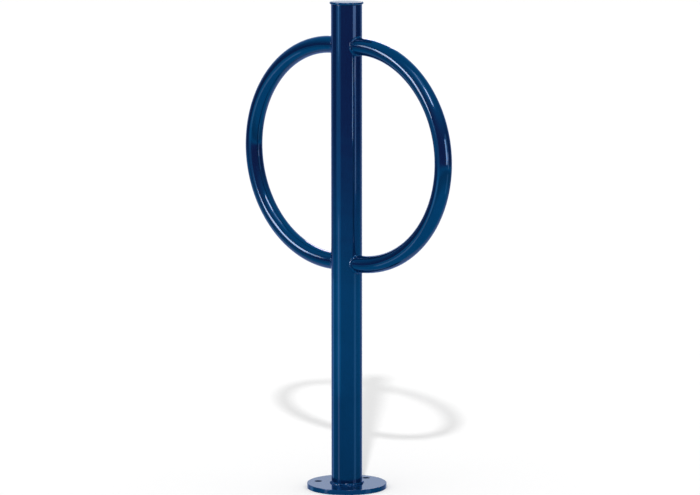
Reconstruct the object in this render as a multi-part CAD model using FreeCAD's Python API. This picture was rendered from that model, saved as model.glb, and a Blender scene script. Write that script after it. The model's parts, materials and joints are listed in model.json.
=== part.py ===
"""Hitching post bike rack: a capped steel post on a foot flange, with a half hoop welded to each side.

Frame: millimetres, +Z up. The origin is the centre of the flange's underside, on the floor.
The half hoops lie in the XZ plane, one towards +X (right) and one towards -X (left).
"""

import FreeCAD
import Part
import math
import os

# Overall height, floor to the top of the cap
RACK_HEIGHT = 952.0

# Post: 2 inch pipe
POST_DIAMETER = 60.3
POST_WALL = 3.9

# Half hoops: 1 inch pipe, bent through half a turn and coped to the post
HOOP_TUBE_DIAMETER = 33.4
HOOP_TUBE_WALL = 3.4
HOOP_BEND_RADIUS = 211.0  # to the tube's centreline
HOOP_STRAIGHT_END = 3.5  # straight tube between the post's wall and the start of the bend
UPPER_JOINT_DROP = 85.5  # top of the cap down to the centreline of the hoops' upper ends
VENT_HOLE_DIAMETER = 10.0  # through the post's wall inside each hoop end, so that the tubes drain

# Foot flange: a round plate with bolt holes, and a drain under the post
FLANGE_DIAMETER = 156.0
FLANGE_THICKNESS = 9.5
FLANGE_EDGE_ROUND = 1.2
BOLT_HOLE_COUNT = 3
BOLT_HOLE_DIAMETER = 14.3
BOLT_HOLE_EDGE_DISTANCE = 20.85  # flange rim to a hole's centre
BOLT_HOLE_FIRST_ANGLE = 90.0  # degrees from +X
DRAIN_HOLE_DIAMETER = 12.0

# End cap: a pressed cup driven into the pipe, with a rounded rim that overhangs it
CAP_RIM_THICKNESS = 6.0
CAP_RIM_OVERHANG = 2.7
CAP_RIM_ROUND = 2.6
CAP_CROWN = 0.8  # rise of the top from the rim to its centre
CAP_TOP_WALL = 3.0
CAP_SKIRT_DEPTH = 18.0
CAP_SKIRT_WALL = 2.5
CAP_SKIRT_LEAD_IN = 1.5
CAP_SKIRT_CLEARANCE = 0.15  # on the radius, inside the pipe

# Weld beads
HOOP_WELD_LEG = 3.2
HOOP_WELD_SECTIONS = 11  # sections that each half of the bead is lofted through
FOOT_WELD_LEG = 4.4
WELD_BULGE = 0.18  # rise of a bead's face over its chord, as a share of the chord

# Worked out from the sizes above
POST_RADIUS = POST_DIAMETER / 2
POST_BORE_RADIUS = POST_RADIUS - POST_WALL
POST_TOP = RACK_HEIGHT - CAP_RIM_THICKNESS
HOOP_TUBE_RADIUS = HOOP_TUBE_DIAMETER / 2
HOOP_BORE_RADIUS = HOOP_TUBE_RADIUS - HOOP_TUBE_WALL
HOOP_BEND_START = POST_RADIUS + HOOP_STRAIGHT_END
UPPER_JOINT_HEIGHT = RACK_HEIGHT - UPPER_JOINT_DROP
LOWER_JOINT_HEIGHT = UPPER_JOINT_HEIGHT - 2 * HOOP_BEND_RADIUS
HOOP_CENTRE_HEIGHT = UPPER_JOINT_HEIGHT - HOOP_BEND_RADIUS
BOLT_CIRCLE_RADIUS = FLANGE_DIAMETER / 2 - BOLT_HOLE_EDGE_DISTANCE

UP = FreeCAD.Vector(0, 0, 1)
ALONG_X = FreeCAD.Vector(1, 0, 0)
ALONG_Y = FreeCAD.Vector(0, 1, 0)
ORIGIN = FreeCAD.Vector(0, 0, 0)


def at(x, z):
    """A point in the XZ plane."""
    return FreeCAD.Vector(x, 0, z)


def line(start, end):
    return Part.LineSegment(start, end).toShape()


def arc(start, middle, end):
    return Part.Arc(start, middle, end).toShape()


def revolved(edges):
    """The solid that a closed outline in the XZ plane makes when it turns about the Z axis."""
    return Part.Face(Part.Wire(edges)).revolve(ORIGIN, UP, 360)


def bulged_middle(start, end, outward):
    """The middle point of a bead's face: the chord's middle, raised by the bulge towards outward."""
    rise = WELD_BULGE * start.distanceToPoint(end)
    return (start + end) / 2 + outward * rise


def solid_post():
    """The post's outside as a solid rod, which the hoop ends and their weld beads are cut to fit."""
    rod = Part.makeCylinder(POST_RADIUS, POST_TOP - FLANGE_THICKNESS, at(0, FLANGE_THICKNESS), UP)
    # The cylinder's seam is turned to the front, clear of the hoops
    rod.rotate(ORIGIN, UP, 90)
    return rod


def post():
    """The pipe, with a vent through its wall inside each hoop end."""
    bore = Part.makeCylinder(POST_BORE_RADIUS, RACK_HEIGHT, ORIGIN, UP)
    pipe = solid_post().cut(bore)
    for height in (UPPER_JOINT_HEIGHT, LOWER_JOINT_HEIGHT):
        start = at(-POST_DIAMETER, height)
        vent = Part.makeCylinder(VENT_HOLE_DIAMETER / 2, 2 * POST_DIAMETER, start, ALONG_X)
        pipe = pipe.cut(vent)
    return pipe


def bent_rod(radius):
    """A round rod along the right half hoop's centreline, from the post's axis round to the axis again."""
    bend_top = at(HOOP_BEND_START, UPPER_JOINT_HEIGHT)
    bend_side = at(HOOP_BEND_START + HOOP_BEND_RADIUS, HOOP_CENTRE_HEIGHT)
    bend_bottom = at(HOOP_BEND_START, LOWER_JOINT_HEIGHT)
    centreline = Part.Wire(
        [
            line(at(0, UPPER_JOINT_HEIGHT), bend_top),
            arc(bend_top, bend_side, bend_bottom),
            line(bend_bottom, at(0, LOWER_JOINT_HEIGHT)),
        ]
    )
    section = Part.Wire(Part.makeCircle(radius, at(0, UPPER_JOINT_HEIGHT), ALONG_X))
    return centreline.makePipeShell([section], True, False)


def half_hoop():
    """The right half hoop: a bent tube whose ends are coped to sit on the post's round wall."""
    tube = bent_rod(HOOP_TUBE_RADIUS).cut(bent_rod(HOOP_BORE_RADIUS))
    return tube.cut(solid_post())


def hoop_weld_section(angle, joint_height):
    """A circle across the bead at an angle round the hoop end: through both toes, with the bead's bulge.

    The toes lie one leg from the saddle line where the two tubes meet, one on each tube.
    """
    hoop_normal = FreeCAD.Vector(0, math.cos(angle), math.sin(angle))
    across = HOOP_TUBE_RADIUS * math.cos(angle)
    post_normal = FreeCAD.Vector(math.sqrt(POST_RADIUS**2 - across**2), across, 0) / POST_RADIUS
    root = FreeCAD.Vector(
        POST_RADIUS * post_normal.x,
        across,
        joint_height + HOOP_TUBE_RADIUS * math.sin(angle),
    )
    along_saddle = post_normal.cross(hoop_normal).normalize()
    post_toe = root + along_saddle.cross(post_normal) * HOOP_WELD_LEG
    hoop_toe = root + hoop_normal.cross(along_saddle) * HOOP_WELD_LEG
    outward = ((post_toe + hoop_toe) / 2 - root).normalize()
    face_middle = bulged_middle(post_toe, hoop_toe, outward)
    return Part.Wire(Part.Circle(post_toe, face_middle, hoop_toe).toShape())


def hoop_weld(joint_height):
    """The saddle-shaped bead round one end of the right half hoop.

    Its back half is lofted from the bottom of the hoop's end to the top, trimmed by the post and the hoop,
    and joined to its mirror image in the hoop's own plane.
    """
    step = math.pi / (HOOP_WELD_SECTIONS - 1)
    angles = [step * k - math.pi / 2 for k in range(HOOP_WELD_SECTIONS)]
    sections = [hoop_weld_section(angle, joint_height) for angle in angles]
    back_half = Part.makeLoft(sections, True).cut(solid_post()).cut(bent_rod(HOOP_TUBE_RADIUS))
    return back_half.fuse(back_half.mirror(ORIGIN, ALONG_Y)).removeSplitter()


def on_left(shape):
    """A copy of a right-hand piece, turned half round the post."""
    turned = shape.copy()
    turned.rotate(ORIGIN, UP, 180)
    return turned


def foot_flange():
    """The round foot plate, with its top rim rounded, its bolt holes and the drain under the post."""
    plate = Part.makeCylinder(FLANGE_DIAMETER / 2, FLANGE_THICKNESS)
    top_rim = [e for e in plate.Edges if e.BoundBox.ZMin > FLANGE_THICKNESS / 2]
    plate = plate.makeFillet(FLANGE_EDGE_ROUND, top_rim)
    plate = plate.cut(Part.makeCylinder(DRAIN_HOLE_DIAMETER / 2, FLANGE_THICKNESS))
    for k in range(BOLT_HOLE_COUNT):
        angle = math.radians(BOLT_HOLE_FIRST_ANGLE + 360 * k / BOLT_HOLE_COUNT)
        centre = FreeCAD.Vector(math.cos(angle), math.sin(angle), 0) * BOLT_CIRCLE_RADIUS
        plate = plate.cut(Part.makeCylinder(BOLT_HOLE_DIAMETER / 2, FLANGE_THICKNESS, centre, UP))
    return plate


def foot_weld():
    """The bead in the corner between the post's foot and the flange's top."""
    corner = at(POST_RADIUS, FLANGE_THICKNESS)
    flange_toe = corner + at(FOOT_WELD_LEG, 0)
    post_toe = corner + at(0, FOOT_WELD_LEG)
    face_middle = bulged_middle(flange_toe, post_toe, at(1, 1).normalize())
    return revolved(
        [
            line(corner, flange_toe),
            arc(flange_toe, face_middle, post_toe),
            line(post_toe, corner),
        ]
    )


def end_cap():
    """The cap: a crowned top with a rounded rim on the pipe's end, and a hollow skirt inside the pipe."""
    rim_radius = POST_RADIUS + CAP_RIM_OVERHANG
    rim_round = min(CAP_RIM_ROUND, CAP_RIM_THICKNESS / 2 - CAP_CROWN / 2)
    skirt_radius = POST_BORE_RADIUS - CAP_SKIRT_CLEARANCE
    skirt_inside = skirt_radius - CAP_SKIRT_WALL
    skirt_end = POST_TOP - CAP_SKIRT_DEPTH
    ceiling = RACK_HEIGHT - CAP_CROWN - CAP_TOP_WALL
    rim_top = RACK_HEIGHT - CAP_CROWN
    round_start = rim_radius - rim_round
    round_middle = rim_round * (1 - math.sqrt(0.5))
    # The crown is an arc of a circle through the top's centre and the start of the rim's round
    crown_radius = (round_start**2 + CAP_CROWN**2) / (2 * CAP_CROWN)
    crown_middle = round_start / 2
    crown_drop = crown_radius - math.sqrt(crown_radius**2 - crown_middle**2)
    crown_end = at(round_start, rim_top)
    upper_round_end = at(rim_radius, rim_top - rim_round)
    lower_round_start = at(rim_radius, POST_TOP + rim_round)
    lower_round_end = at(round_start, POST_TOP)
    skirt_top = at(skirt_radius, POST_TOP)
    lead_in_start = at(skirt_radius, skirt_end + CAP_SKIRT_LEAD_IN)
    lead_in_end = at(skirt_radius - CAP_SKIRT_LEAD_IN / 2, skirt_end)
    edges = [
        arc(at(0, RACK_HEIGHT), at(crown_middle, RACK_HEIGHT - crown_drop), crown_end),
        arc(crown_end, at(rim_radius - round_middle, rim_top - round_middle), upper_round_end),
        arc(lower_round_start, at(rim_radius - round_middle, POST_TOP + round_middle), lower_round_end),
        line(lower_round_end, skirt_top),
        line(skirt_top, lead_in_start),
        line(lead_in_start, lead_in_end),
        line(lead_in_end, at(skirt_inside, skirt_end)),
        line(at(skirt_inside, skirt_end), at(skirt_inside, ceiling)),
        line(at(skirt_inside, ceiling), at(0, ceiling)),
        line(at(0, ceiling), at(0, RACK_HEIGHT)),
    ]
    if upper_round_end.z > lower_round_start.z:
        edges.insert(2, line(upper_round_end, lower_round_start))
    return revolved(edges)


def nodes():
    """Every separate piece by its name."""
    right_hoop = half_hoop()
    upper_weld = hoop_weld(UPPER_JOINT_HEIGHT)
    lower_weld = hoop_weld(LOWER_JOINT_HEIGHT)
    return {
        "post": post(),
        "end_cap": end_cap(),
        "foot_flange": foot_flange(),
        "foot_weld": foot_weld(),
        "right_half_hoop": right_hoop,
        "left_half_hoop": on_left(right_hoop),
        "upper_right_hoop_weld": upper_weld,
        "lower_right_hoop_weld": lower_weld,
        "upper_left_hoop_weld": on_left(upper_weld),
        "lower_left_hoop_weld": on_left(lower_weld),
    }


def main():
    os.makedirs("parts", exist_ok=True)
    for name, shape in nodes().items():
        shape.exportStep(f"parts/{name}.step")
        print(f"{name}: {len(shape.Solids)} solid, {shape.Volume:.0f} mm3, valid {shape.isValid()}")


main()
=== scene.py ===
"""Hitching post bike rack: glossy blue powder coat on pipe, plate and weld beads, on a white stage."""

import json
import math

import bmesh
import bpy
import numpy as np
from bpy.props import FloatProperty, FloatVectorProperty, IntProperty, PointerProperty
from mathutils import Matrix, Vector


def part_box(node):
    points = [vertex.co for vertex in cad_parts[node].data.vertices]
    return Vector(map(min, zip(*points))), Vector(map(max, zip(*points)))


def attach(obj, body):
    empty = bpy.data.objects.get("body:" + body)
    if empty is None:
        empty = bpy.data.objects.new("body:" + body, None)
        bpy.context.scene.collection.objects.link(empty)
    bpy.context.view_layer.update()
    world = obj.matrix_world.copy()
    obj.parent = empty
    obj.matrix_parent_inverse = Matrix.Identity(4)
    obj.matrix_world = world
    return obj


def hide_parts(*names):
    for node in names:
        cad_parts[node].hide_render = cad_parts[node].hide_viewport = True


bl_info = {
    "name": "Hitching Post Bike Rack",
    "version": (1, 0, 0),
    "blender": (4, 5, 0),
    "location": "3D View > Sidebar > Bike Rack",
    "description": "Dresses the packed rack in powder-coated pipe, plate and weld beads",
    "category": "Add Mesh",
}

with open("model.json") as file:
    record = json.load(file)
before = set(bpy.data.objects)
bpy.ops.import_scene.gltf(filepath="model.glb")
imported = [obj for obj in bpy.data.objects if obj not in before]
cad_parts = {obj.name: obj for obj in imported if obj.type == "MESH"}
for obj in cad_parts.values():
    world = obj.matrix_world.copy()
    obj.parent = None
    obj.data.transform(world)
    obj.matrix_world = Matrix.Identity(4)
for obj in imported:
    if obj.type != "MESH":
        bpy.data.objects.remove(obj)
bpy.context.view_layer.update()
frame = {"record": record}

BODY = "root"
MILLIMETRE = 0.001
TURN = 2 * math.pi

# How finely the surfaces are divided, and how near points have to lie to be merged.
POST_SEGMENTS = 224
POST_EDGE_STEPS = 5
CAP_SEGMENTS = 192
CAP_CROWN_STEPS = 24
LAST_CROWN_RING = 0.995
CAP_RIM_STEPS = 14
TUBE_SEGMENTS = 72
TUBE_STRAIGHT_STEPS = 6
TUBE_BEND_STEPS = 256
SECTOR_SEGMENTS = 96
SECTOR_SIDE_STEPS = 24
FLANGE_RIM_STEPS = 9
PLATE_EDGE_STEPS = 6
HOOP_BEAD_STEPS = 480
FOOT_BEAD_STEPS = 900
BEAD_COLUMNS = 17
MERGE_DISTANCE = 0.002 * MILLIMETRE


def middle_and_half(node):
    """The middle of a node's box and half its extents."""
    low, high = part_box(node)
    return (low + high) / 2, (high - low) / 2


def anchor_bolts():
    """The dimensions of the flange's bolt circle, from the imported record."""
    return next(m["dims"] for m in frame["record"]["mounts"] if m["kind"] == "bolt_pattern")


POST_MIDDLE, POST_HALF = middle_and_half("post")
CAP_MIDDLE, CAP_HALF = middle_and_half("end_cap")
_, FLANGE_HALF = middle_and_half("foot_flange")
_, FOOT_WELD_HALF = middle_and_half("foot_weld")
HOOP_MIDDLE, HOOP_HALF = middle_and_half("right_half_hoop")
_, HOOP_WELD_HALF = middle_and_half("upper_right_hoop_weld")
HOOP_FAR_SIDE = HOOP_MIDDLE.x + HOOP_HALF.x
ANCHORS = anchor_bolts()
HOLES = ANCHORS["count"]
FIRST_HOLE = math.pi / 2

# The foot bead's mean leg, as a share of the solid bead's height. The rest leaves room for its swelling.
FOOT_LEG_SHARE = 0.75
FOOT_WELD_HEIGHT = 2 * FOOT_WELD_HALF.z


def length(name, description, default):
    """A length in metres that the panel shows."""
    return FloatProperty(name=name, description=description, default=default, unit="LENGTH", precision=4)


def share(name, description, default):
    """A number from nought to one."""
    return FloatProperty(name=name, description=description, default=default, min=0, max=1, subtype="FACTOR")


def degrees(name, description, default):
    """An angle, written in degrees."""
    return FloatProperty(name=name, description=description, default=math.radians(default), subtype="ANGLE")


def number(name, description, default):
    """A number without a unit of its own."""
    return FloatProperty(name=name, description=description, default=default)


def level(name, description, default):
    """A strength of light."""
    return FloatProperty(name=name, description=description, default=default, min=0)


def colour(name, description, default):
    """A colour in linear light."""
    return FloatVectorProperty(name=name, description=description, default=default, subtype="COLOR", size=3)


class RackSizes(bpy.types.PropertyGroup):
    """Sizes of the pieces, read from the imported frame, with the walls and rounds that boxes don't give."""

    post_radius: length("Post radius", "Outside radius of the post", POST_HALF.x)
    post_wall: length("Post wall", "Thickness of the post's wall", 3.9 * MILLIMETRE)
    post_foot: length("Post foot", "Height of the post's lower end", POST_MIDDLE.z - POST_HALF.z)
    post_top: length("Post top", "Height of the post's upper end", POST_MIDDLE.z + POST_HALF.z)
    rack_top: length("Rack top", "Height of the cap's centre", CAP_MIDDLE.z + CAP_HALF.z)
    cap_radius: length("Cap radius", "Outside radius of the cap's rim", CAP_HALF.x)
    cap_crown: length("Cap crown", "Rise of the cap's top from rim to centre", 0.8 * MILLIMETRE)
    cap_round: length("Cap round", "Radius of the cap's rim", 2.6 * MILLIMETRE)
    cap_skirt_end: length("Cap skirt end", "Height of the skirt's lower end", CAP_MIDDLE.z - CAP_HALF.z)
    cap_skirt_wall: length("Cap skirt wall", "Thickness of the skirt", 2.5 * MILLIMETRE)
    cap_top_wall: length("Cap top wall", "Thickness of the cap's top", 3.0 * MILLIMETRE)
    hoop_tube_radius: length("Hoop tube radius", "Outside radius of the half hoops' tube", HOOP_HALF.y)
    hoop_tube_wall: length("Hoop tube wall", "Thickness of the half hoops' tube", 3.4 * MILLIMETRE)
    hoop_bend_radius: length("Hoop bend radius", "To the tube's centreline", HOOP_HALF.z - HOOP_HALF.y)
    hoop_bend_start: length("Hoop bend start", "Post's axis to the bend", HOOP_FAR_SIDE - HOOP_HALF.z)
    hoop_centre: length("Hoop centre", "Height of the half hoops' centre", HOOP_MIDDLE.z)
    flange_radius: length("Flange radius", "Radius of the foot flange", FLANGE_HALF.x)
    flange_thickness: length("Flange thickness", "Thickness of the foot flange", 2 * FLANGE_HALF.z)
    flange_round: length("Flange round", "Round of the flange's top rim", 1.2 * MILLIMETRE)
    coated_edge: length("Coated edge", "Round that the coat leaves on a cut edge", 0.5 * MILLIMETRE)
    hole_edge: length("Hole edge", "Round that the coat leaves on a bolt hole's edge", 0.25 * MILLIMETRE)
    bolt_circle: length("Bolt circle", "Radius of the bolt circle", ANCHORS["pcd_mm"] / 2 * MILLIMETRE)
    bolt_hole: length("Bolt hole radius", "Radius of a bolt hole", ANCHORS["hole_r_mm"] * MILLIMETRE)
    drain_hole: length("Drain hole radius", "Radius of the hole under the post", 6.0 * MILLIMETRE)


class WeldLooks(bpy.types.PropertyGroup):
    """How the weld beads were laid."""

    hoop_leg: length("Hoop weld leg", "Bead's reach on each pipe", HOOP_WELD_HALF.z - HOOP_HALF.y)
    foot_leg: length("Foot weld leg", "Bead's reach on post and flange", FOOT_LEG_SHARE * FOOT_WELD_HEIGHT)
    bulge: share("Bulge", "Rise of a bead's face over its chord, as a share of the chord", 0.14)
    sink: length("Sink", "How far a bead's back reaches into the metal", 0.8 * MILLIMETRE)
    hoop_pitch: length("Hoop ripple pitch", "Distance from one ripple to the next", 4.2 * MILLIMETRE)
    foot_pitch: length("Foot ripple pitch", "Distance from one ripple to the next", 8.0 * MILLIMETRE)
    hoop_ripple: length("Hoop ripple", "Depth of the ripples in the hoops' beads", 0.45 * MILLIMETRE)
    foot_ripple: length("Foot ripple", "Depth of the ripples in the foot's bead", 0.8 * MILLIMETRE)
    ripple_bow: number("Ripple bow", "How far ripples bow along the bead, in half pitches", 1.6)
    hoop_unevenness: length("Hoop unevenness", "Swelling of the hoops' beads", 0.35 * MILLIMETRE)
    foot_unevenness: length("Foot unevenness", "Swelling of the foot's bead", 0.7 * MILLIMETRE)


class CoatLooks(bpy.types.PropertyGroup):
    """The powder coat."""

    blue: colour("Blue", "Colour of the coat", (0.004, 0.045, 0.142))
    thin_blue: colour("Thin blue", "Colour where the coat lies thinner", (0.003, 0.038, 0.124))
    edge_tint: colour("Edge tint", "Tint of the flakes' gloss at a low angle", (0.15, 0.45, 0.95))
    metallic: share("Metal flake", "How far the coat mirrors in its own colour", 0.75)
    plate_metallic: share("Plate's metal flake", "The same on plate, where flakes lie buried deeper", 0.5)
    clear: share("Clear layer", "Strength of the clear layer's white gloss", 0.8)
    roughness_low: share("Lowest roughness", "Roughness of the glossiest patches", 0.09)
    roughness_high: share("Highest roughness", "Roughness of the dullest patches", 0.15)
    peel_size: length("Peel size", "Width of the orange peel's dimples", 2.6 * MILLIMETRE)
    peel_depth: length("Peel depth", "Depth of the orange peel", 0.012 * MILLIMETRE)
    wave_size: length("Wave size", "Width of the slow waves in the metal", 38 * MILLIMETRE)
    wave_depth: length("Wave depth", "Depth of the slow waves", 0.10 * MILLIMETRE)


class StudioLooks(bpy.types.PropertyGroup):
    """Camera, floor and lights. Angles round the post are counted from the camera, to its right."""

    camera_turn: degrees("Camera turn", "From the front, to the right", 41.69)
    camera_distance: length("Camera distance", "Level distance from the post's axis", 7.377)
    camera_height: length("Camera height", "Above the floor", 1.5553)
    camera_pitch: degrees("Camera pitch", "Below the horizon", 8.342)
    camera_yaw: degrees("Camera yaw", "To the right of the post's axis", 0.050)
    camera_roll: degrees("Camera roll", "Tilt of the horizon", 0.0325)
    camera_lens: number("Lens", "Focal length in millimetres", 197.78)
    side_start: degrees("Side start", "Where the studio's sides fade in, each way from the camera", 70)
    side_full: degrees("Side full", "Where the sides have their full colour, each way from the camera", 95)
    edge_start: degrees("Edge start", "Where the backdrop's edge fades in, each way from the camera", 112)
    edge_full: degrees("Edge full", "Where that edge has its full colour, each way from the camera", 128)
    backdrop_start: degrees("Backdrop start", "Where the backdrop fades in, each way from the camera", 138)
    backdrop_full: degrees("Backdrop full", "Where the backdrop is white, each way from the camera", 172)
    floor_start: degrees("Floor start", "Where the front floor fades in, against the horizon", -6.2)
    floor_full: degrees("Floor full", "Where it has its full colour, against the horizon", -9.4)
    shade_start: degrees("Shaded floor start", "Where the shaded floor fades in, against the horizon", -9.2)
    shade_full: degrees("Shaded floor full", "Where it has its full colour, against the horizon", -12.4)
    near_start: degrees("Near floor start", "Where the near floor fades in, against the horizon", -14)
    near_full: degrees("Near floor full", "Where it has its full colour, against the horizon", -30)
    pale_start: degrees("Pale floor start", "Where the near floor turns paler, each way from the camera", 95)
    pale_full: degrees("Pale floor full", "Where the near floor is palest, each way from the camera", 125)
    ceiling_start: degrees("Ceiling start", "Where the ceiling fades in, above the horizon", 2)
    ceiling_full: degrees("Ceiling full", "Where the ceiling has its full colour, above the horizon", 52)
    room_colour: colour("Room", "Unlit front of the studio in reflections", (0.094, 0.0, 0.148))
    side_colour: colour("Sides", "Unlit sides of the studio in reflections", (0.03, 0.01, 0.12))
    edge_colour: colour("Backdrop edge", "Shaded edge of the backdrop in reflections", (0.20, 0.34, 0.50))
    floor_colour: colour("Front floor", "Floor in front of the rack in reflections", (0.02, 0.50, 0.78))
    shade_colour: colour("Shaded floor", "Shaded part of the front floor in reflections", (0.02, 0.25, 0.37))
    near_colour: colour("Near floor", "Floor near the rack in reflections", (0.01, 0.50, 0.75))
    pale_colour: colour("Pale floor", "Near floor towards the backdrop in reflections", (0.50, 0.66, 0.80))
    ceiling_colour: colour("Ceiling", "Ceiling in reflections", (0.02, 0.46, 0.70))
    sky_level: level("Soft light", "Even light from all round", 0.82)
    key_level: level("Key", "Strength of the key light", 1.2)
    key_turn: degrees("Key turn", "Key light's place round the post", -3)
    key_rise: degrees("Key rise", "Key light's height above the horizon", 38.4)
    key_size: degrees("Key size", "Apparent width of the key light", 2.2)


def quads(rows, columns, close_rows, close_columns):
    """Corner numbers of the quads of a grid numbered row by row, wrapped round in either direction."""
    r = np.arange(rows if close_rows else rows - 1)
    c = np.arange(columns if close_columns else columns - 1)
    r, c = np.meshgrid(r, c, indexing="ij")
    r_next = (r + 1) % rows
    c_next = (c + 1) % columns
    corners = [r * columns + c, r * columns + c_next, r_next * columns + c_next, r_next * columns + c]
    return np.stack(corners, axis=-1).reshape(-1, 4)


def add_piece(name, grids, material, nodes):
    """Joins grids of points into one closed mesh, and makes it the piece that stands for CAD nodes.

    Each grid is (points, close_rows, close_columns), with points as an array of rows by columns by 3. Rows
    that meet, and rows drawn together at a pole, are merged, and then the faces are turned outwards.
    """
    points = []
    faces = []
    count = 0
    for grid, close_rows, close_columns in grids:
        rows, columns = grid.shape[:2]
        points.append(grid.reshape(-1, 3))
        faces.append(quads(rows, columns, close_rows, close_columns) + count)
        count += rows * columns
    mesh = bpy.data.meshes.new(name)
    mesh.from_pydata(np.concatenate(points), [], np.concatenate(faces).tolist())
    shape = bmesh.new()
    shape.from_mesh(mesh)
    bmesh.ops.remove_doubles(shape, verts=shape.verts, dist=MERGE_DISTANCE)
    bmesh.ops.recalc_face_normals(shape, faces=shape.faces)
    if shape.calc_volume(signed=True) < 0:
        bmesh.ops.reverse_faces(shape, faces=shape.faces)
    shape.to_mesh(mesh)
    shape.free()
    mesh.shade_smooth()
    mesh.materials.append(material)
    piece = bpy.data.objects.new(name, mesh)
    bpy.context.scene.collection.objects.link(piece)
    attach(piece, BODY)
    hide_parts(*nodes)


def turned(profile, segments):
    """A profile of (radius, height) points carried round the Z axis: rows along it, columns round it."""
    angle = np.arange(segments) * TURN / segments
    radius = profile[:, 0, None]
    height = np.broadcast_to(profile[:, 1, None], (len(profile), segments))
    return np.stack([radius * np.cos(angle), radius * np.sin(angle), height], axis=-1)


def rounded_corner(centre, radius, start, end, steps):
    """Points of (radius, height) on an arc about a centre, from one angle to another in degrees."""
    angle = np.radians(np.linspace(start, end, steps))
    return np.stack([centre[0] + radius * np.cos(angle), centre[1] + radius * np.sin(angle)], axis=-1)


def beside(start, end, gap):
    """Two points on a straight run, a small gap inside each end, which keep its shading flat."""
    start = np.asarray(start, float)
    end = np.asarray(end, float)
    along = (end - start) / np.linalg.norm(end - start)
    return np.stack([start + gap * along, end - gap * along])


def post_profile(sizes):
    """The pipe's section: outer wall up, inner wall down, with a small round on each end's outer edge."""
    outer = sizes.post_radius
    inner = outer - sizes.post_wall
    edge = sizes.coated_edge
    upper = rounded_corner((outer - edge, sizes.post_top - edge), edge, 0, 90, POST_EDGE_STEPS)
    lower = rounded_corner((outer - edge, sizes.post_foot + edge), edge, -90, 0, POST_EDGE_STEPS)
    wall = beside(lower[-1], upper[0], edge)
    bore = np.array([(inner, sizes.post_top), (inner, sizes.post_foot)])
    return np.concatenate([lower, wall, upper, bore])


def end_cap_profile(sizes):
    """The cap's section: from the top's centre over the crown, round the rim, down the skirt, to the axis.

    The crown falls with the square of the radius. One more ring close to the rim keeps its shading.
    """
    rim = sizes.cap_radius
    edge = sizes.cap_round
    rim_top = sizes.rack_top - sizes.cap_crown
    inside = sizes.post_radius - sizes.post_wall
    skirt = inside - sizes.cap_skirt_wall
    ceiling = rim_top - sizes.cap_top_wall
    radius = np.append(np.linspace(0, 1, CAP_CROWN_STEPS), LAST_CROWN_RING) * (rim - edge)
    radius.sort()
    height = sizes.rack_top - sizes.cap_crown * (radius / (rim - edge)) ** 2
    upper = rounded_corner((rim - edge, rim_top - edge), edge, 90, 0, CAP_RIM_STEPS)[1:]
    lower = rounded_corner((rim - edge, sizes.post_top + edge), edge, 0, -90, CAP_RIM_STEPS)
    crown = np.stack([radius, height], axis=-1)
    under = [
        (inside, sizes.post_top),
        (inside, sizes.cap_skirt_end),
        (skirt, sizes.cap_skirt_end),
        (skirt, ceiling),
        (0, ceiling),
    ]
    return np.concatenate([crown, upper, lower, np.array(under)])


def saddle(sizes, radius, around):
    """How far from the post's axis a tube meets the post, at angles round the tube.

    By Pythagoras on the post's circle, with the tube's own sideways reach as the other side.
    """
    return np.sqrt(sizes.post_radius**2 - (radius * np.cos(around)) ** 2)


def bent_wall(sizes, radius, around):
    """One wall of the right half hoop: rows along the tube, columns round it.

    It runs straight from the coped upper end to the bend, through half a turn about the hoop's centre, and
    straight back to the coped lower end. A point's distance from the hoop's centre is the bend's radius plus
    the tube's radius times the sine of its angle round the tube, and its depth is the tube's radius times
    the cosine.
    """
    sine = np.sin(around)
    depth = radius * np.cos(around)
    blend = np.linspace(0, 1, TUBE_STRAIGHT_STEPS + 1)[:-1, None]
    bend = np.linspace(0, math.pi, TUBE_BEND_STEPS + 1)[:, None]
    start = saddle(sizes, radius, around)
    reach = sizes.hoop_bend_radius + radius * sine
    straight_x = start + (sizes.hoop_bend_start - start) * blend
    straight_z = np.broadcast_to(reach, straight_x.shape)
    x = np.concatenate([straight_x, sizes.hoop_bend_start + reach * np.sin(bend), straight_x[::-1]])
    z = np.concatenate([straight_z, reach * np.cos(bend), -straight_z])
    return np.stack([x, np.broadcast_to(depth, x.shape), sizes.hoop_centre + z], axis=-1)


def half_hoop(sizes):
    """The right half hoop as one closed skin: along the outer wall, then back along the bore."""
    around = np.arange(TUBE_SEGMENTS) * TURN / TUBE_SEGMENTS
    outer = bent_wall(sizes, sizes.hoop_tube_radius, around)
    bore = bent_wall(sizes, sizes.hoop_tube_radius - sizes.hoop_tube_wall, around)
    return np.concatenate([outer, bore[::-1]])


def half_turn(points):
    """The same points turned half round the post."""
    return points * np.array([-1, -1, 1])


# Fewest and most waves round a bead in the curves that its toes, drift, ripple depth and swelling follow.
TOE_WAVES = (2, 9)
DRIFT_WAVES = (1, 6)
DEPTH_WAVES = (3, 12)
SWELL_WAVES = (3, 14)

# A ripple's profile is a cosine to this power, with this mean. Ripples drift along the bead by about a share
# of their pitch, and their depth varies by about a share of itself.
RIPPLE_POWER = 0.8
RIPPLE_MEAN = 0.68
RIPPLE_DRIFT = 0.22
RIPPLE_VARIATION = 0.5


def wander(run, seed, slowest, fastest):
    """A smooth closed curve of moderate spread: a sum of sines of whole wave counts, with seeded phases."""
    draw = np.random.default_rng(seed)
    waves = np.arange(slowest, fastest + 1)
    size = draw.normal(size=len(waves)) / np.sqrt(len(waves))
    phase = draw.uniform(0, TURN, len(waves))
    return np.sum(size * np.sin(TURN * run[:, None] * waves + phase), axis=1)


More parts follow.
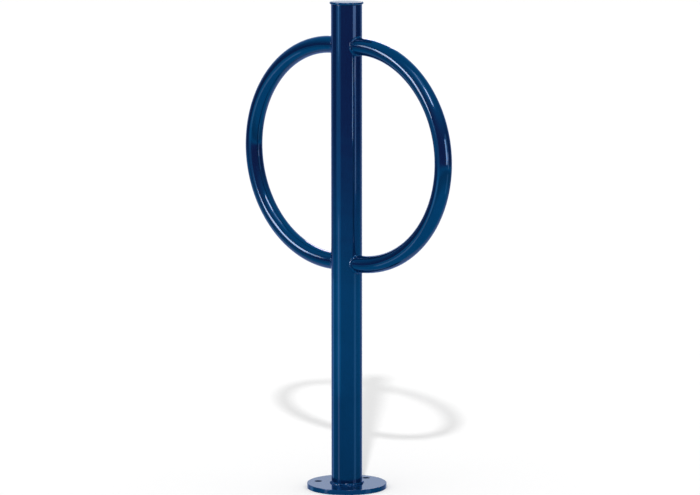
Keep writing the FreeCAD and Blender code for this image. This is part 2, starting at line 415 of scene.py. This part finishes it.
def bead(root, to_first, to_second, first_normal, second_normal, leg, uneven, pitch, depth, looks, seed):
    """A closed weld bead along a closed root line where two surfaces meet: rows along it, columns across it.

    to_first and to_second lead from the root along each surface to the bead's toes. Across the bead, the
    face is the chord from toe to toe, raised by a parabola. Along it, the toes wander, and the face carries
    ripples with round backs and narrow valleys, which bow along the bead and die out at the toes. The back
    of the bead lies under both surfaces.
    """
    step = np.linalg.norm(np.roll(root, -1, axis=0) - root, axis=1)
    run = np.concatenate([[0], np.cumsum(step)[:-1]])
    whole = step.sum()
    run = run / whole
    first_leg = leg + uneven * wander(run, seed, *TOE_WAVES)
    second_leg = leg + uneven * wander(run, seed + 1, *TOE_WAVES)
    first_toe = root + to_first * first_leg[:, None]
    second_toe = root + to_second * second_leg[:, None]
    across = np.linspace(0, 1, BEAD_COLUMNS)
    arch = 4 * across * (1 - across)
    chord = np.linalg.norm(second_toe - first_toe, axis=1)
    outward = to_first + to_second
    outward /= np.linalg.norm(outward, axis=1, keepdims=True)
    ripples = round(whole / pitch)
    drift = RIPPLE_DRIFT * wander(run, seed + 2, *DRIFT_WAVES)
    turn = ripples * run[:, None] + drift[:, None] + looks.ripple_bow * (arch - 1) / 2
    scale = 1 + RIPPLE_VARIATION * wander(run, seed + 3, *DEPTH_WAVES)[:, None]
    ripple = (np.abs(np.cos(math.pi * turn)) ** RIPPLE_POWER - RIPPLE_MEAN) * depth * scale
    swell = uneven * wander(run, seed + 4, *SWELL_WAVES)[:, None]
    rise = chord[:, None] * looks.bulge * arch + (ripple + swell) * np.sqrt(arch)
    face = first_toe[:, None] + (second_toe - first_toe)[:, None] * across[:, None]
    face = face + outward[:, None] * rise[..., None]
    back = np.stack(
        [
            second_toe - second_normal * looks.sink,
            root - (first_normal + second_normal) * looks.sink,
            first_toe - first_normal * looks.sink,
        ],
        axis=1,
    )
    return np.concatenate([face, back], axis=1)


def hoop_bead(sizes, looks, side, seed):
    """The bead round the right half hoop's upper end (side 1) or lower end (side -1).

    Its root is the saddle line where the two pipes meet. Across that line, each toe's direction lies in its
    own pipe's surface, square to the line.
    """
    radius = sizes.hoop_tube_radius
    around = np.arange(HOOP_BEAD_STEPS) * TURN / HOOP_BEAD_STEPS
    depth = radius * np.cos(around)
    x = saddle(sizes, radius, around)
    joint = sizes.hoop_centre + side * sizes.hoop_bend_radius
    zero = np.zeros_like(around)
    root = np.stack([x, depth, joint + radius * np.sin(around)], axis=-1)
    post_normal = np.stack([x, depth, zero], axis=-1) / sizes.post_radius
    hoop_normal = np.stack([zero, np.cos(around), np.sin(around)], axis=-1)
    along = np.cross(post_normal, hoop_normal)
    along /= np.linalg.norm(along, axis=1, keepdims=True)
    to_post = np.cross(along, post_normal)
    to_hoop = np.cross(hoop_normal, along)
    laid = (looks.hoop_leg, looks.hoop_unevenness, looks.hoop_pitch, looks.hoop_ripple)
    return bead(root, to_post, to_hoop, post_normal, hoop_normal, *laid, looks, seed)


def foot_bead(sizes, looks, seed):
    """The bead in the corner between the post's foot and the flange."""
    around = np.arange(FOOT_BEAD_STEPS) * TURN / FOOT_BEAD_STEPS
    zero = np.zeros_like(around)
    outward = np.stack([np.cos(around), np.sin(around), zero], axis=-1)
    up = np.stack([zero, zero, zero + 1], axis=-1)
    root = outward * sizes.post_radius + up * sizes.post_foot
    laid = (looks.foot_leg, looks.foot_unevenness, looks.foot_pitch, looks.foot_ripple)
    return bead(root, up, outward, outward, up, *laid, looks, seed)


# Where rows lie on the way from a hole to the border of its sector. They are close at both ends, so that the
# flat between shades flat.
SECTOR_ROWS = (0.015, 0.06, 0.2, 0.45, 0.7, 0.9, 0.975, 1)

# Where the disc under the post begins, as a share of the post's radius.
DISC_SHARE = 0.94


def plate_sector(sizes, hole_angle, inner_radius):
    """The flange's sector round one bolt hole, as a strip that closes round the hole.

    Columns follow the sector's border: its outer arc, a side, its inner arc and the other side. Rows run
    from that border on the underside straight in to the hole, up the hole's wall with rounded edges, and
    straight out to the border on the top.
    """
    edge = sizes.coated_edge
    thick = sizes.flange_thickness
    half = math.pi / HOLES
    sweep = np.linspace(-half, half, SECTOR_SEGMENTS + 1)[:-1]
    climb = np.linspace(0, 1, SECTOR_SIDE_STEPS + 1)[:-1]
    centre = np.array([sizes.bolt_circle, 0])

    def border(outer_radius):
        outer_arc = outer_radius * np.stack([np.cos(sweep), np.sin(sweep)], axis=-1)
        inner_arc = inner_radius * np.stack([np.cos(-sweep), np.sin(-sweep)], axis=-1)
        inward = outer_radius + (inner_radius - outer_radius) * climb
        back_out = outer_radius + inner_radius - inward
        far_side = inward[:, None] * np.array([math.cos(half), math.sin(half)])
        near_side = back_out[:, None] * np.array([math.cos(half), -math.sin(half)])
        return np.concatenate([outer_arc, far_side, inner_arc, near_side])

    top_border = border(sizes.flange_radius - sizes.flange_round)
    under_border = border(sizes.flange_radius - edge)
    outward = top_border - centre
    outward /= np.linalg.norm(outward, axis=1, keepdims=True)
    hole_edge = sizes.hole_edge
    lip = sizes.bolt_hole + hole_edge
    lower = rounded_corner((lip, hole_edge), hole_edge, 270, 180, PLATE_EDGE_STEPS)
    upper = rounded_corner((lip, thick - hole_edge), hole_edge, 180, 90, PLATE_EDGE_STEPS)
    wall = beside(lower[-1], upper[0], hole_edge)
    rim = np.concatenate([lower, wall, upper])
    hole = centre + outward * rim[:, None, :1]
    hole = np.concatenate([hole, np.broadcast_to(rim[:, None, 1:], hole.shape[:2] + (1,))], axis=-1)
    span = np.array(SECTOR_ROWS)[:, None, None]

    def flat(start, finish, height):
        run = start + (finish - start) * span
        return np.concatenate([run, np.full(run.shape[:2] + (1,), height)], axis=-1)

    under = flat(hole[0, :, :2], under_border, 0.0)[::-1]
    top = flat(hole[-1, :, :2], top_border, thick)
    strip = np.concatenate([under, hole, top])
    turn = np.array(Matrix.Rotation(hole_angle, 3, "Z"))
    return strip @ turn.T


def flange_grids(sizes):
    """The flange: a sector round each bolt hole, the disc under the post with its drain, and the rim."""
    edge = sizes.coated_edge
    thick = sizes.flange_thickness
    inner = DISC_SHARE * sizes.post_radius
    segments = HOLES * SECTOR_SEGMENTS
    first_seam = FIRST_HOLE - math.pi / HOLES
    rim_round = sizes.flange_round
    outer = sizes.flange_radius
    upper = rounded_corner((outer - rim_round, thick - rim_round), rim_round, 90, 0, FLANGE_RIM_STEPS)
    lower = rounded_corner((outer - edge, edge), edge, 0, -90, PLATE_EDGE_STEPS)
    rim = np.concatenate([upper, beside(upper[-1], lower[0], edge), lower])
    drain_top = rounded_corner((sizes.drain_hole + edge, thick - edge), edge, 90, 180, PLATE_EDGE_STEPS)
    drain_foot = rounded_corner((sizes.drain_hole + edge, edge), edge, 180, 270, PLATE_EDGE_STEPS)
    disc = np.concatenate(
        [
            [(inner, thick)],
            beside((inner, thick), drain_top[0], edge),
            drain_top,
            drain_foot,
            beside(drain_foot[-1], (inner, 0), edge),
            [(inner, 0)],
        ]
    )
    turn = np.array(Matrix.Rotation(first_seam, 3, "Z"))
    sectors = [plate_sector(sizes, FIRST_HOLE + k * TURN / HOLES, inner) for k in range(HOLES)]
    grids = [(sector, False, True) for sector in sectors]
    grids += [(turned(profile, segments) @ turn.T, False, True) for profile in (rim, disc)]
    return grids


class NodeBoard:
    """Adds shader nodes and links them, so that a material reads as a list of steps."""

    def __init__(self, tree):
        self.tree = tree

    def add(self, kind, settings=None, **inputs):
        """A node of a kind, with settings on it and inputs by name: values, or another node's output."""
        node = self.tree.nodes.new(kind)
        for key, value in (settings or {}).items():
            setattr(node, key, value)
        for key, value in inputs.items():
            socket = self.socket(node, key)
            if isinstance(value, bpy.types.NodeSocket):
                self.tree.links.new(value, socket)
            else:
                socket.default_value = value
        return node

    @staticmethod
    def socket(node, key):
        """An input by its name in lower case with underlines, or by its number, as in_0."""
        if key.startswith("in_"):
            return node.inputs[int(key[3:])]
        wanted = key.replace("_", " ")
        return next(s for s in node.inputs if s.name.lower() == wanted and s.enabled)


# Waves per metre in the coat's thickness: clouds, and a share of finer mottling on them.
CLOUD_SCALE = 9.0
MOTTLE_SCALE = 160.0
MOTTLE_SHARE = 0.25

# The span of that noise over which the colour goes from thin to thick, and the gloss from dull to bright.
COLOUR_SPAN = (0.42, 0.83)
GLOSS_SPAN = (0.40, 0.85)

CLEAR_IOR = 1.5
CLEAR_ROUGHNESS = 0.05


def coat_material(name, looks, metallic, wave, peel):
    """Glossy powder coat: blue that varies with its thickness, uneven gloss, orange peel and slow waves.

    wave and peel scale the depth of the slow waves and of the orange peel.
    """
    material = bpy.data.materials.new(name)
    material.use_nodes = True
    tree = material.node_tree
    tree.nodes.clear()
    board = NodeBoard(tree)
    place = board.add("ShaderNodeTexCoord").outputs["Object"]
    cloud = board.add("ShaderNodeTexNoise", vector=place, scale=CLOUD_SCALE, detail=3.0, roughness=0.55)
    fine = board.add("ShaderNodeTexNoise", vector=place, scale=MOTTLE_SCALE, detail=2.0, roughness=0.6)
    mottle = board.add(
        "ShaderNodeMath",
        {"operation": "MULTIPLY_ADD"},
        in_0=fine.outputs["Fac"],
        in_1=MOTTLE_SHARE,
        in_2=cloud.outputs["Fac"],
    )
    thickness = board.add(
        "ShaderNodeMapRange",
        value=mottle.outputs[0],
        from_min=COLOUR_SPAN[0],
        from_max=COLOUR_SPAN[1],
    )
    blue = board.add(
        "ShaderNodeMix",
        {"data_type": "RGBA"},
        factor=thickness.outputs["Result"],
        a=(*looks.thin_blue, 1),
        b=(*looks.blue, 1),
    )
    gloss = board.add(
        "ShaderNodeMapRange",
        value=mottle.outputs[0],
        from_min=GLOSS_SPAN[0],
        from_max=GLOSS_SPAN[1],
        to_min=looks.roughness_high,
        to_max=looks.roughness_low,
    )
    slow = board.add("ShaderNodeTexNoise", vector=place, scale=1 / looks.wave_size, detail=1.0)
    dimples = board.add("ShaderNodeTexNoise", vector=place, scale=1 / looks.peel_size, detail=1.5)
    waves = board.add(
        "ShaderNodeBump",
        height=slow.outputs["Fac"],
        strength=1.0,
        distance=wave * looks.wave_depth,
    )
    skin = board.add(
        "ShaderNodeBump",
        height=dimples.outputs["Fac"],
        normal=waves.outputs["Normal"],
        strength=1.0,
        distance=peel * looks.peel_depth,
    )
    shader = board.add(
        "ShaderNodeBsdfPrincipled",
        base_color=blue.outputs["Result"],
        roughness=gloss.outputs["Result"],
        normal=skin.outputs["Normal"],
        metallic=metallic,
        ior=CLEAR_IOR,
        specular_ior_level=0.0,
        specular_tint=(*looks.edge_tint, 1),
        coat_weight=looks.clear,
        coat_roughness=CLEAR_ROUGHNESS,
        coat_normal=skin.outputs["Normal"],
    )
    board.add("ShaderNodeOutputMaterial", surface=shader.outputs["BSDF"])
    return material


def named_coat(name, looks, metallic, wave, peel):
    """A coat material by its name, made once."""
    return bpy.data.materials.get(name) or coat_material(name, looks, metallic, wave, peel)


def pipe_coat(context):
    """Coat on drawn pipe: long and smooth."""
    looks = context.scene.rack_coat
    return named_coat("pipe_coat", looks, looks.metallic, wave=1.0, peel=1.0)


def plate_coat(context):
    """Coat on cut plate and pressed sheet, which keep more of the peel."""
    looks = context.scene.rack_coat
    return named_coat("plate_coat", looks, looks.plate_metallic, wave=0.5, peel=1.6)


def weld_coat(context):
    """Coat on weld beads, drawn over the ripples."""
    looks = context.scene.rack_coat
    return named_coat("weld_coat", looks, looks.metallic, wave=0.2, peel=2.2)


class RACK_OT_post(bpy.types.Operator):
    """Make the post"""

    bl_idname = "bike_rack.post"
    bl_label = "Post"

    def execute(self, context):
        pipe = turned(post_profile(context.scene.rack_sizes), POST_SEGMENTS)
        add_piece("post_pipe", [(pipe, True, True)], pipe_coat(context), ["post"])
        return {"FINISHED"}


class RACK_OT_end_cap(bpy.types.Operator):
    """Make the cap in the post's top"""

    bl_idname = "bike_rack.end_cap"
    bl_label = "End Cap"

    def execute(self, context):
        cap = turned(end_cap_profile(context.scene.rack_sizes), CAP_SEGMENTS)
        add_piece("crowned_cap", [(cap, False, True)], plate_coat(context), ["end_cap"])
        return {"FINISHED"}


class RACK_OT_half_hoops(bpy.types.Operator):
    """Make both half hoops"""

    bl_idname = "bike_rack.half_hoops"
    bl_label = "Half Hoops"

    def execute(self, context):
        hoop = half_hoop(context.scene.rack_sizes)
        coat = pipe_coat(context)
        add_piece("right_hoop_tube", [(hoop, True, True)], coat, ["right_half_hoop"])
        add_piece("left_hoop_tube", [(half_turn(hoop), True, True)], coat, ["left_half_hoop"])
        return {"FINISHED"}


class RACK_OT_hoop_welds(bpy.types.Operator):
    """Make the saddle-shaped beads round the half hoops' ends"""

    bl_idname = "bike_rack.hoop_welds"
    bl_label = "Hoop Welds"

    seed_step = 10
    first_seed: IntProperty(name="First seed", description="Draws the beads' unevenness", default=40)

    def execute(self, context):
        sizes = context.scene.rack_sizes
        looks = context.scene.rack_welds
        coat = weld_coat(context)
        seed = self.first_seed
        for height, side in (("upper", 1), ("lower", -1)):
            for hand in ("right", "left"):
                points = hoop_bead(sizes, looks, side, seed)
                if hand == "left":
                    points = half_turn(points)
                place = f"{height}_{hand}"
                add_piece(f"{place}_bead", [(points, True, True)], coat, [f"{place}_hoop_weld"])
                seed += self.seed_step
        return {"FINISHED"}


class RACK_OT_foot_flange(bpy.types.Operator):
    """Make the foot flange with its bolt holes"""

    bl_idname = "bike_rack.foot_flange"
    bl_label = "Foot Flange"

    def execute(self, context):
        grids = flange_grids(context.scene.rack_sizes)
        add_piece("flange_plate", grids, plate_coat(context), ["foot_flange"])
        return {"FINISHED"}


class RACK_OT_foot_weld(bpy.types.Operator):
    """Make the bead round the post's foot"""

    bl_idname = "bike_rack.foot_weld"
    bl_label = "Foot Weld"

    seed: IntProperty(name="Seed", description="Draws the bead's unevenness", default=7)

    def execute(self, context):
        scene = context.scene
        points = foot_bead(scene.rack_sizes, scene.rack_welds, self.seed)
        add_piece("foot_bead", [(points, True, True)], weld_coat(context), ["foot_weld"])
        return {"FINISHED"}


# The camera's sensor in millimetres, and in metres how far it sees, how far the floor reaches each way, and
# how far off the key light is put.
SENSOR_WIDTH = 36
VIEW_REACH = 60
FLOOR_REACH = 20.0
KEY_DISTANCE = 5.0

FLOOR_WHITE = (0.97, 0.97, 0.97, 1)
FLOOR_ROUGHNESS = 0.9


def camera_axes(studio):
    """Level unit vectors from the post towards the camera and to the camera's right."""
    turn = studio.camera_turn
    towards = Vector((math.sin(turn), -math.cos(turn), 0))
    right = Vector((math.cos(turn), math.sin(turn), 0))
    return towards, right


def add_camera(studio):
    """The camera at the photograph's place, with its axes as the columns of its rotation."""
    towards, right = camera_axes(studio)
    up = Vector((0, 0, 1))
    level_look = -towards * math.cos(studio.camera_yaw) + right * math.sin(studio.camera_yaw)
    look = level_look * math.cos(studio.camera_pitch) - up * math.sin(studio.camera_pitch)
    side = look.cross(up).normalized()
    top = side.cross(look)
    rolled_side = side * math.cos(studio.camera_roll) - top * math.sin(studio.camera_roll)
    rolled_top = side * math.sin(studio.camera_roll) + top * math.cos(studio.camera_roll)
    data = bpy.data.cameras.new("camera")
    data.sensor_fit = "HORIZONTAL"
    data.sensor_width = SENSOR_WIDTH
    data.lens = studio.camera_lens
    data.clip_end = VIEW_REACH
    camera = bpy.data.objects.new("camera", data)
    place = towards * studio.camera_distance + up * studio.camera_height
    turn = Matrix((rolled_side, rolled_top, -look)).transposed()
    camera.matrix_world = Matrix.Translation(place) @ turn.to_4x4()
    bpy.context.scene.collection.objects.link(camera)
    bpy.context.scene.camera = camera


def add_floor(studio):
    """A white sheet under the rack and all round it. Reflections see the studio's own floor and backdrop."""
    towards, right = camera_axes(studio)
    corners = [
        (right - towards) * FLOOR_REACH,
        (-right - towards) * FLOOR_REACH,
        (-right + towards) * FLOOR_REACH,
        (right + towards) * FLOOR_REACH,
    ]
    mesh = bpy.data.meshes.new("floor_sheet")
    mesh.from_pydata(corners, [], [(0, 1, 2, 3)])
    material = bpy.data.materials.new("white_sheet")
    material.use_nodes = True
    shader = material.node_tree.nodes["Principled BSDF"]
    shader.inputs["Base Color"].default_value = FLOOR_WHITE
    shader.inputs["Roughness"].default_value = FLOOR_ROUGHNESS
    shader.inputs["Specular IOR Level"].default_value = 0.0
    mesh.materials.append(material)
    floor = bpy.data.objects.new("floor_sheet", mesh)
    floor.visible_glossy = False
    bpy.context.scene.collection.objects.link(floor)


def add_world(studio):
    """Even light from all round, seen as a white backdrop.

    Reflections see a studio: that backdrop with its shaded edges behind the rack, the unlit front and sides,
    the floor in bands that fade from one to the next towards the rack, and the ceiling above.
    """
    world = bpy.data.worlds.new("studio")
    bpy.context.scene.world = world
    world.use_nodes = True
    tree = world.node_tree
    tree.nodes.clear()
    board = NodeBoard(tree)
    towards, _ = camera_axes(studio)
    direction = board.add("ShaderNodeTexCoord").outputs["Generated"]
    level_only = board.add("ShaderNodeVectorMath", {"operation": "MULTIPLY"}, in_0=direction, in_1=(1, 1, 0))
    heading = board.add("ShaderNodeVectorMath", {"operation": "NORMALIZE"}, in_0=level_only.outputs[0])
    facing = board.add(
        "ShaderNodeVectorMath",
        {"operation": "DOT_PRODUCT"},
        in_0=heading.outputs[0],
        in_1=towards,
    )
    away = board.add("ShaderNodeMath", {"operation": "ARCCOSINE"}, in_0=facing.outputs["Value"])
    height = board.add("ShaderNodeSeparateXYZ", vector=direction)
    rise = board.add("ShaderNodeMath", {"operation": "ARCSINE"}, in_0=height.outputs["Z"])

    def fade(angle, start, full, first, second):
        """From the first colour to the second between two angles."""
        blend = board.add(
            "ShaderNodeMapRange",
            {"interpolation_type": "SMOOTHSTEP"},
            value=angle.outputs[0],
            from_min=start,
            from_max=full,
        )
        share_of_second = blend.outputs["Result"]
        mix = board.add("ShaderNodeMix", {"data_type": "RGBA"}, factor=share_of_second, a=first, b=second)
        return mix.outputs["Result"]

    white = (1, 1, 1, 1)
    near = (*studio.near_colour, 1)
    near = fade(away, studio.pale_start, studio.pale_full, near, (*studio.pale_colour, 1))
    gloss = (*studio.room_colour, 1)
    gloss = fade(away, studio.side_start, studio.side_full, gloss, (*studio.side_colour, 1))
    gloss = fade(rise, studio.floor_start, studio.floor_full, gloss, (*studio.floor_colour, 1))
    gloss = fade(rise, studio.shade_start, studio.shade_full, gloss, (*studio.shade_colour, 1))
    gloss = fade(away, studio.edge_start, studio.edge_full, gloss, (*studio.edge_colour, 1))
    gloss = fade(away, studio.backdrop_start, studio.backdrop_full, gloss, white)
    gloss = fade(rise, studio.near_start, studio.near_full, gloss, near)
    gloss = fade(rise, studio.ceiling_start, studio.ceiling_full, gloss, (*studio.ceiling_colour, 1))
    rays = board.add("ShaderNodeLightPath")
    mirrored = board.add(
        "ShaderNodeMath",
        {"operation": "MAXIMUM"},
        in_0=rays.outputs["Is Glossy Ray"],
        in_1=rays.outputs["Is Transmission Ray"],
    )
    sky = (studio.sky_level, studio.sky_level, studio.sky_level, 1)
    mirror = board.add("ShaderNodeMix", {"data_type": "RGBA"}, factor=mirrored.outputs[0], a=sky, b=gloss)
    seen = board.add(
        "ShaderNodeMix",
        {"data_type": "RGBA"},
        factor=rays.outputs["Is Camera Ray"],
        a=mirror.outputs["Result"],
        b=white,
    )
    light = board.add("ShaderNodeBackground", color=seen.outputs["Result"], strength=1.0)
    board.add("ShaderNodeOutputWorld", surface=light.outputs[0])


def aim(light, place, target):
    """Puts a light at a place, pointing at a target."""
    light.location = place
    light.rotation_euler = (target - place).to_track_quat("-Z", "Y").to_euler()
    bpy.context.scene.collection.objects.link(light)


def around_post(studio, turn, distance, height):
    """A place at an angle round the post from the camera, a distance from its axis."""
    towards, right = camera_axes(studio)
    return towards * distance * math.cos(turn) + right * distance * math.sin(turn) + Vector((0, 0, height))


def add_glow(name, place, target, width, height, brightness, tint):
    """A glowing rectangle that only shows in the gloss, with its size in metres, facing a target."""
    data = bpy.data.lights.new(name, "AREA")
    data.shape = "RECTANGLE"
    data.size = width
    data.size_y = height
    data.energy = brightness * math.pi * width * height
    data.color = tint
    light = bpy.data.objects.new(name, data)
    light.visible_camera = False
    light.visible_diffuse = False
    aim(light, place, target)


def add_panel(studio, name, turn, width, distance, low, high, brightness, tint):
    """A standing panel: its angle round the post and width in degrees, its distance, low and high level."""
    middle = (low + high) / 2
    place = around_post(studio, math.radians(turn), distance, middle)
    across = 2 * distance * math.tan(math.radians(width) / 2)
    add_glow(name, place, Vector((0, 0, middle)), across, high - low, brightness, tint)


def add_softbox(studio, name, distance, turn, rise, width, height, brightness, tint):
    """A softbox facing the hoops' middle: its distance, and in degrees its angle, rise, width and height."""
    middle = Vector((0, 0, HOOP_MIDDLE.z))
    rise = math.radians(rise)
    lift = middle.z + distance * math.sin(rise)
    place = around_post(studio, math.radians(turn), distance * math.cos(rise), lift)
    across = 2 * distance * math.tan(math.radians(width) / 2)
    tall = 2 * distance * math.tan(math.radians(height) / 2)
    add_glow(name, place, middle, across, tall, brightness, tint)


def add_key(studio):
    """The key light, small and far off, from above the camera. It draws the shadow on the floor."""
    data = bpy.data.lights.new("key", "SUN")
    data.energy = studio.key_level
    data.angle = studio.key_size
    light = bpy.data.objects.new("key", data)
    light.visible_glossy = False
    place = around_post(studio, studio.key_turn, KEY_DISTANCE, KEY_DISTANCE * math.tan(studio.key_rise))
    aim(light, place, Vector((0, 0, 0)))


# Softboxes: name, distance, angle round the post, rise, width and height as seen from the hoops, brightness,
# tint.
SOFTBOXES = (
    ("left_softbox", 3.5, -61.5, 12.7, 13, 18.4, 12.0, (1.0, 0.73, 0.51)),
    ("middle_left_softbox", 7.0, -71.9, 17.0, 9, 16, 11.2, (1.0, 0.73, 0.51)),
    ("far_left_softbox", 7.0, -79.6, 19.0, 6.6, 12, 5.0, (1.0, 0.80, 0.60)),
    ("upper_softbox", 7.0, 14, 47, 10, 16, 13.5, (1.0, 0.70, 0.49)),
    ("upper_fade", 7.0, 8, 63, 8, 16, 2.5, (1.0, 0.80, 0.60)),
    ("upper_surround", 7.0, 12, 57, 36, 36, 0.45, (0.5, 0.9, 1.0)),
    ("back_softbox", 7.0, 176, 24, 16, 12, 8.0, (1.0, 0.75, 0.55)),
)

# Standing panels: name, angle round the post, width, distance, low and high level, brightness, tint. Those
# that reach below the floor are what a glossy floor would mirror of the others.
PANELS = (
    ("left_glow", -63, 36, 2.6, -0.30, 0.85, 0.42, (0.05, 0.85, 1.0)),
    ("left_streak", -62, 10, 2.6, 0.60, 0.80, 1.0, (0.6, 1.0, 1.0)),
    ("left_image", -62, 10, 2.6, -0.75, 0.18, 0.70, (1.0, 0.85, 0.7)),
    ("left_edge", -121, 16, 2.6, -0.75, 0.02, 0.65, (0.4, 0.9, 1.0)),
    ("left_floor", -69, 22, 2.6, -1.30, -0.58, 0.64, (0.95, 1.0, 0.9)),
    ("right_softbox", 60, 24, 2.6, 0.53, 0.80, 1.5, (0.95, 1.0, 0.93)),
    ("right_glow", 60, 24, 2.6, 0.80, 1.45, 0.55, (0.4, 1.0, 1.0)),
    ("right_strip", 47.0, 9.5, 0.59, 0.62, 0.79, 4.2, (0.95, 0.95, 0.8)),
    ("right_streak", 69, 9, 2.6, 0.24, 0.53, 1.1, (0.75, 1.0, 0.95)),
    ("right_image", 64, 18, 2.6, -0.75, 0.05, 0.36, (0.55, 1.0, 1.0)),
)


class RACK_OT_stage(bpy.types.Operator):
    """Make the camera, the floor and the lights"""

    bl_idname = "bike_rack.stage"
    bl_label = "Stage"

    def execute(self, context):
        studio = context.scene.rack_studio
        context.scene.view_settings.view_transform = "Standard"
        add_camera(studio)
        add_floor(studio)
        add_world(studio)
        for softbox in SOFTBOXES:
            add_softbox(studio, *softbox)
        for panel in PANELS:
            add_panel(studio, *panel)
        add_key(studio)
        return {"FINISHED"}


OPERATORS = (
    RACK_OT_post,
    RACK_OT_end_cap,
    RACK_OT_half_hoops,
    RACK_OT_hoop_welds,
    RACK_OT_foot_flange,
    RACK_OT_foot_weld,
    RACK_OT_stage,
)


class RACK_PT_panel(bpy.types.Panel):
    """Lists the pieces of the rack"""

    bl_idname = "RACK_PT_panel"
    bl_label = "Bike Rack"
    bl_space_type = "VIEW_3D"
    bl_region_type = "UI"
    bl_category = "Bike Rack"

    def draw(self, context):
        column = self.layout.column(align=True)
        for operator in OPERATORS:
            column.operator(operator.bl_idname)
        for name in GROUPS:
            group = getattr(context.scene, name)
            box = self.layout.box()
            for key in group.bl_rna.properties.keys():
                if key not in {"rna_type", "name"}:
                    box.prop(group, key)


GROUPS = {
    "rack_sizes": RackSizes,
    "rack_welds": WeldLooks,
    "rack_coat": CoatLooks,
    "rack_studio": StudioLooks,
}
CLASSES = (*GROUPS.values(), *OPERATORS, RACK_PT_panel)


def register():
    for cls in CLASSES:
        bpy.utils.register_class(cls)
    for key, group in GROUPS.items():
        setattr(bpy.types.Scene, key, PointerProperty(type=group))


def unregister():
    for key in GROUPS:
        delattr(bpy.types.Scene, key)
    for cls in reversed(CLASSES):
        bpy.utils.unregister_class(cls)


def main():
    register()
    bpy.ops.bike_rack.post()
    bpy.ops.bike_rack.end_cap()
    bpy.ops.bike_rack.half_hoops()
    bpy.ops.bike_rack.hoop_welds()
    bpy.ops.bike_rack.foot_flange()
    bpy.ops.bike_rack.foot_weld()
    bpy.ops.bike_rack.stage()


if __name__ == "__main__":
    main()
